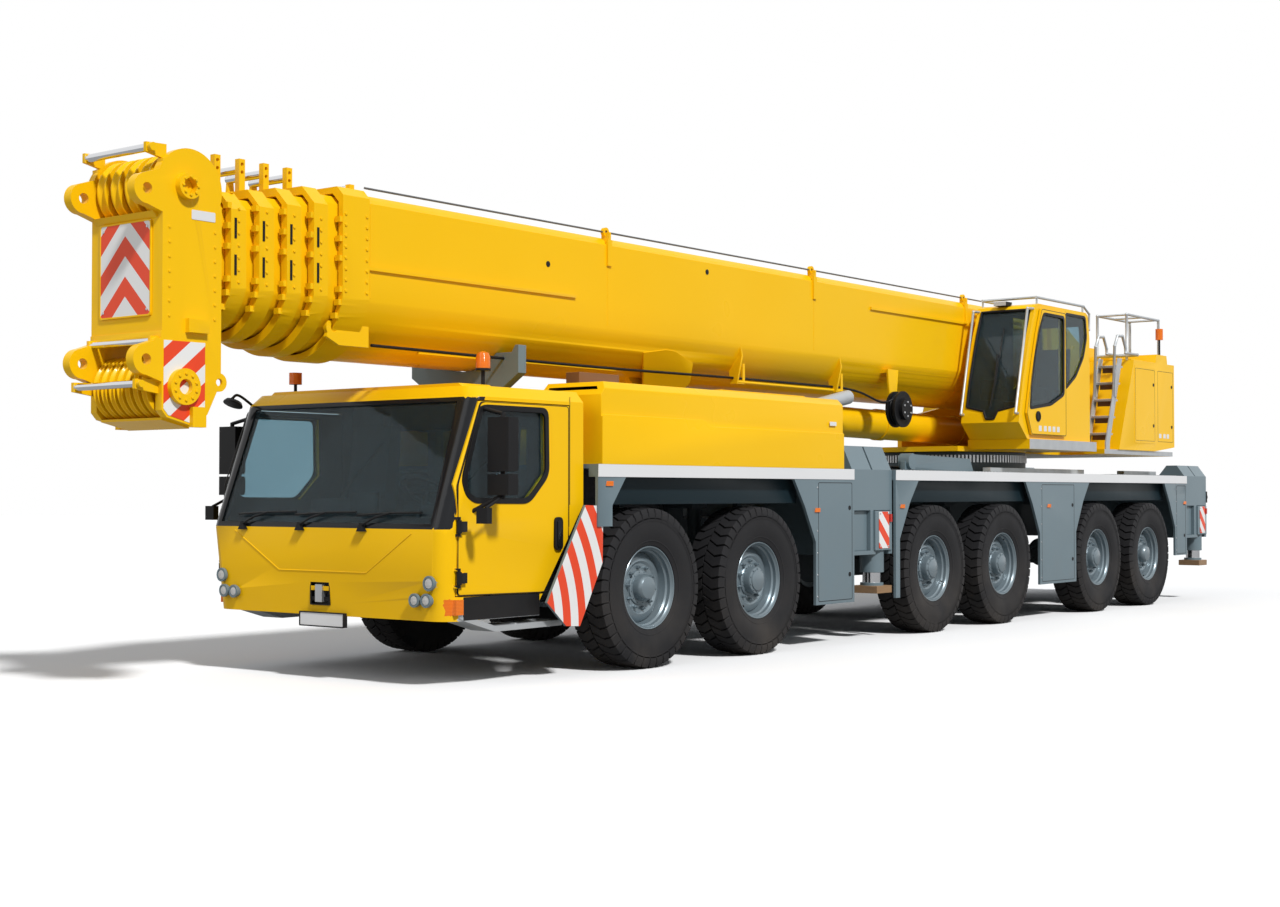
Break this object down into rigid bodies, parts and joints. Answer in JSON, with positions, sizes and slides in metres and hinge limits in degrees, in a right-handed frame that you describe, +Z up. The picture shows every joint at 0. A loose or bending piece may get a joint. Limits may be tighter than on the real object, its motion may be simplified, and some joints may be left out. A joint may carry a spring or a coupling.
{
  "type": "mobile crane",
  "caption": "All-terrain mobile crane with a driver's cab, long deck on steered axles, outriggers and a slewing upper part with a telescopic boom.",
  "frame": {"origin": "on the ground at the middle of the whole length and width", "axes": "+Z up, -Y to the front, +X to the vehicle's left"},
  "size_m": [3.4, 17.9, 4],
  "materials": {
    "yellow_paint": "gloss",
    "grey_paint": "satin",
    "tyre": "matte",
    "glass": "gloss",
    "dark_trim": "matte",
    "cast_iron": "rough",
    "steel": "brushed",
    "seat_fabric": "woven",
    "chrome": "polished"
  },
  "bodies": {
    "carrier": {"chassis_frame": "grey_paint", "axle_beams": "grey_paint", "fender_deck_left": "grey_paint", "fender_deck_right": "grey_paint", "cab_shell": "yellow_paint", "cab_glass": "glass", "cab_interior": "dark_trim", "engine_cover": "yellow_paint", "engine_block": "cast_iron", "boom_rest": "grey_paint", "slew_ring": "steel"},
    "knuckle_1l": {"knuckle_1l": "grey_paint"},
    "wheel_1l": {"wheel_1l": "tyre"},
    "knuckle_1r": {"knuckle_1r": "grey_paint"},
    "wheel_1r": {"wheel_1r": "tyre"},
    "knuckle_2l": {"knuckle_2l": "grey_paint"},
    "wheel_2l": {"wheel_2l": "tyre"},
    "knuckle_2r": {"knuckle_2r": "grey_paint"},
    "wheel_2r": {"wheel_2r": "tyre"},
    "knuckle_3l": {"knuckle_3l": "grey_paint"},
    "wheel_3l": {"wheel_3l": "tyre"},
    "knuckle_3r": {"knuckle_3r": "grey_paint"},
    "wheel_3r": {"wheel_3r": "tyre"},
    "wheel_4l": {"wheel_4l": "tyre"},
    "wheel_4r": {"wheel_4r": "tyre"},
    "knuckle_5l": {"knuckle_5l": "grey_paint"},
    "wheel_5l": {"wheel_5l": "tyre"},
    "knuckle_5r": {"knuckle_5r": "grey_paint"},
    "wheel_5r": {"wheel_5r": "tyre"},
    "knuckle_6l": {"knuckle_6l": "grey_paint"},
    "wheel_6l": {"wheel_6l": "tyre"},
    "knuckle_6r": {"knuckle_6r": "grey_paint"},
    "wheel_6r": {"wheel_6r": "tyre"},
    "cab_door_left": {"cab_door_left": "yellow_paint"},
    "cab_door_right": {"cab_door_right": "yellow_paint"},
    "outrigger_beam_front_left": {"outrigger_beam_front_left": "grey_paint"},
    "outrigger_jack_front_left": {"outrigger_jack_front_left": "steel"},
    "outrigger_beam_front_right": {"outrigger_beam_front_right": "grey_paint"},
    "outrigger_jack_front_right": {"outrigger_jack_front_right": "steel"},
    "outrigger_beam_rear_left": {"outrigger_beam_rear_left": "grey_paint"},
    "outrigger_jack_rear_left": {"outrigger_jack_rear_left": "steel"},
    "outrigger_beam_rear_right": {"outrigger_beam_rear_right": "grey_paint"},
    "outrigger_jack_rear_right": {"outrigger_jack_rear_right": "steel"},
    "superstructure": {"turntable_frame": "yellow_paint", "engine_housing": "yellow_paint", "winch": "yellow_paint", "ladder_rails": "steel"},
    "crane_cab": {"crane_cab_shell": "yellow_paint", "crane_cab_glass": "glass", "crane_cab_seat": "seat_fabric"},
    "crane_cab_door": {"crane_cab_door": "yellow_paint"},
    "boom_base": {"boom_base": "yellow_paint"},
    "luff_barrel": {"luff_barrel": "yellow_paint"},
    "luff_rod": {"luff_rod": "chrome"},
    "boom_tele_1": {"boom_tele_1": "yellow_paint"},
    "boom_tele_2": {"boom_tele_2": "yellow_paint"},
    "boom_tele_3": {"boom_tele_3": "yellow_paint"},
    "boom_tele_4": {"boom_tele_4": "yellow_paint"},
    "boom_tele_5": {"boom_tele_5": "yellow_paint", "head_pulleys": "yellow_paint"}
  },
  "joints": [
    {"name": "steer_1l", "type": "hinge", "parent": "carrier", "child": "knuckle_1l", "pos_m": [1.18, -4.45, 0.6875], "axis": [0, 0, 1], "range_deg": [-30, 30]},
    {"name": "spin_1l", "type": "hinge", "parent": "knuckle_1l", "child": "wheel_1l", "pos_m": [1.3075, -4.45, 0.6875], "axis": [1, 0, 0], "continuous": true},
    {"name": "steer_1r", "type": "hinge", "parent": "carrier", "child": "knuckle_1r", "pos_m": [-1.18, -4.45, 0.6875], "axis": [0, 0, 1], "range_deg": [-30.01, 30.01]},
    {"name": "spin_1r", "type": "hinge", "parent": "knuckle_1r", "child": "wheel_1r", "pos_m": [-1.3075, -4.45, 0.6875], "axis": [1, 0, 0], "continuous": true},
    {"name": "steer_2l", "type": "hinge", "parent": "carrier", "child": "knuckle_2l", "pos_m": [1.18, -2.79, 0.6875], "axis": [0, 0, 1], "range_deg": [-23.41, 23.41]},
    {"name": "spin_2l", "type": "hinge", "parent": "knuckle_2l", "child": "wheel_2l", "pos_m": [1.3075, -2.79, 0.6875], "axis": [1, 0, 0], "continuous": true},
    {"name": "steer_2r", "type": "hinge", "parent": "carrier", "child": "knuckle_2r", "pos_m": [-1.18, -2.79, 0.6875], "axis": [0, 0, 1], "range_deg": [-23.41, 23.41]},
    {"name": "spin_2r", "type": "hinge", "parent": "knuckle_2r", "child": "wheel_2r", "pos_m": [-1.3075, -2.79, 0.6875], "axis": [1, 0, 0], "continuous": true},
    {"name": "steer_3l", "type": "hinge", "parent": "carrier", "child": "knuckle_3l", "pos_m": [1.18, 0.56, 0.6875], "axis": [0, 0, 1], "range_deg": [-8.11, 8.11]},
    {"name": "spin_3l", "type": "hinge", "parent": "knuckle_3l", "child": "wheel_3l", "pos_m": [1.3075, 0.56, 0.6875], "axis": [1, 0, 0], "continuous": true},
    {"name": "steer_3r", "type": "hinge", "parent": "carrier", "child": "knuckle_3r", "pos_m": [-1.18, 0.56, 0.6875], "axis": [0, 0, 1], "range_deg": [-8.11, 8.11]},
    {"name": "spin_3r", "type": "hinge", "parent": "knuckle_3r", "child": "wheel_3r", "pos_m": [-1.3075, 0.56, 0.6875], "axis": [1, 0, 0], "continuous": true},
    {"name": "spin_4l", "type": "hinge", "parent": "carrier", "child": "wheel_4l", "pos_m": [1.3075, 2.2, 0.6875], "axis": [1, 0, 0], "continuous": true},
    {"name": "spin_4r", "type": "hinge", "parent": "carrier", "child": "wheel_4r", "pos_m": [-1.3075, 2.2, 0.6875], "axis": [1, 0, 0], "continuous": true},
    {"name": "steer_5l", "type": "hinge", "parent": "carrier", "child": "knuckle_5l", "pos_m": [1.18, 4.85, 0.6875], "axis": [0, 0, 1], "range_deg": [-13, 13]},
    {"name": "spin_5l", "type": "hinge", "parent": "knuckle_5l", "child": "wheel_5l", "pos_m": [1.3075, 4.85, 0.6875], "axis": [1, 0, 0], "continuous": true},
    {"name": "steer_5r", "type": "hinge", "parent": "carrier", "child": "knuckle_5r", "pos_m": [-1.18, 4.85, 0.6875], "axis": [0, 0, 1], "range_deg": [-13, 13]},
    {"name": "spin_5r", "type": "hinge", "parent": "knuckle_5r", "child": "wheel_5r", "pos_m": [-1.3075, 4.85, 0.6875], "axis": [1, 0, 0], "continuous": true},
    {"name": "steer_6l", "type": "hinge", "parent": "carrier", "child": "knuckle_6l", "pos_m": [1.18, 6.48, 0.6875], "axis": [0, 0, 1], "range_deg": [-20.41, 20.41]},
    {"name": "spin_6l", "type": "hinge", "parent": "knuckle_6l", "child": "wheel_6l", "pos_m": [1.3075, 6.48, 0.6875], "axis": [1, 0, 0], "continuous": true},
    {"name": "steer_6r", "type": "hinge", "parent": "carrier", "child": "knuckle_6r", "pos_m": [-1.18, 6.48, 0.6875], "axis": [0, 0, 1], "range_deg": [-20.41, 20.41]},
    {"name": "spin_6r", "type": "hinge", "parent": "knuckle_6r", "child": "wheel_6r", "pos_m": [-1.3075, 6.48, 0.6875], "axis": [1, 0, 0], "continuous": true},
    {"name": "cab_door_left_hinge", "type": "hinge", "parent": "carrier", "child": "cab_door_left", "pos_m": [1.397, -6.721, 1.2], "axis": [0, 0, -1], "range_deg": [0, 70]},
    {"name": "cab_door_right_hinge", "type": "hinge", "parent": "carrier", "child": "cab_door_right", "pos_m": [-1.397, -6.721, 1.2], "axis": [0, 0, 1], "range_deg": [0, 70]},
    {"name": "outrigger_out_front_left", "type": "slide", "parent": "carrier", "child": "outrigger_beam_front_left", "axis": [1, 0, 0], "range_m": [0, 2.4]},
    {"name": "jack_down_front_left", "type": "slide", "parent": "outrigger_beam_front_left", "child": "outrigger_jack_front_left", "axis": [0, 0, -1], "range_m": [0, 0.46]},
    {"name": "outrigger_out_front_right", "type": "slide", "parent": "carrier", "child": "outrigger_beam_front_right", "axis": [-1, 0, 0], "range_m": [0, 2.4]},
    {"name": "jack_down_front_right", "type": "slide", "parent": "outrigger_beam_front_right", "child": "outrigger_jack_front_right", "axis": [0, 0, -1], "range_m": [0, 0.46]},
    {"name": "outrigger_out_rear_left", "type": "slide", "parent": "carrier", "child": "outrigger_beam_rear_left", "axis": [1, 0, 0], "range_m": [0, 2.4]},
    {"name": "jack_down_rear_left", "type": "slide", "parent": "outrigger_beam_rear_left", "child": "outrigger_jack_rear_left", "axis": [0, 0, -1], "range_m": [0, 0.46]},
    {"name": "outrigger_out_rear_right", "type": "slide", "parent": "carrier", "child": "outrigger_beam_rear_right", "axis": [-1, 0, 0], "range_m": [0, 2.4]},
    {"name": "jack_down_rear_right", "type": "slide", "parent": "outrigger_beam_rear_right", "child": "outrigger_jack_rear_right", "axis": [0, 0, -1], "range_m": [0, 0.46]},
    {"name": "slewing", "type": "hinge", "parent": "carrier", "child": "superstructure", "pos_m": [0, 3.65, 1.995], "axis": [0, 0, 1], "continuous": true},
    {"name": "crane_cab_tilt", "type": "hinge", "parent": "superstructure", "child": "crane_cab", "pos_m": [1.075, 4.71, 2.19], "axis": [-1, 0, 0], "range_deg": [0, 20]},
    {"name": "crane_cab_door_slide", "type": "slide", "parent": "crane_cab", "child": "crane_cab_door", "axis": [0, 1, 0], "range_m": [0, 0.85]},
    {"name": "boom_luff", "type": "hinge", "parent": "superstructure", "child": "boom_base", "pos_m": [0, 6.3, 3.2], "axis": [-1, 0, 0], "range_deg": [0, 82]},
    {"name": "luff_barrel_swing", "type": "hinge", "parent": "superstructure", "child": "luff_barrel", "pos_m": [0, 4.35, 2.28], "axis": [-1, 0, 0], "range_deg": [0, 88.61]},
    {"name": "luff_rod_slide", "type": "slide", "parent": "luff_barrel", "child": "luff_rod", "axis": [0, -0.9999, 0.0114], "range_m": [0, 2.66687]},
    {"name": "boom_extend_1", "type": "slide", "parent": "boom_base", "child": "boom_tele_1", "axis": [0, -1, 0], "range_m": [0, 9.4]},
    {"name": "boom_extend_2", "type": "slide", "parent": "boom_tele_1", "child": "boom_tele_2", "axis": [0, -1, 0], "range_m": [0, 9.4]},
    {"name": "boom_extend_3", "type": "slide", "parent": "boom_tele_2", "child": "boom_tele_3", "axis": [0, -1, 0], "range_m": [0, 9.4]},
    {"name": "boom_extend_4", "type": "slide", "parent": "boom_tele_3", "child": "boom_tele_4", "axis": [0, -1, 0], "range_m": [0, 9.4]},
    {"name": "boom_extend_5", "type": "slide", "parent": "boom_tele_4", "child": "boom_tele_5", "axis": [0, -1, 0], "range_m": [0, 9.4]}
  ],
  "couplings": [
    {"joint": "steer_1r", "follows": "steer_1l", "ratio": 1},
    {"joint": "steer_2l", "follows": "steer_1l", "ratio": 0.78},
    {"joint": "steer_2r", "follows": "steer_1l", "ratio": 0.78},
    {"joint": "steer_3l", "follows": "steer_1l", "ratio": 0.27},
    {"joint": "steer_3r", "follows": "steer_1l", "ratio": 0.27},
    {"joint": "steer_5l", "follows": "steer_1l", "ratio": -0.433},
    {"joint": "steer_5r", "follows": "steer_1l", "ratio": -0.433},
    {"joint": "steer_6l", "follows": "steer_1l", "ratio": -0.68},
    {"joint": "steer_6r", "follows": "steer_1l", "ratio": -0.68},
    {"joint": "luff_barrel_swing", "follows": "boom_luff", "ratio": 1.0804},
    {"joint": "luff_rod_slide", "follows": "boom_luff", "m_per_rad": 1.8631}
  ]
}
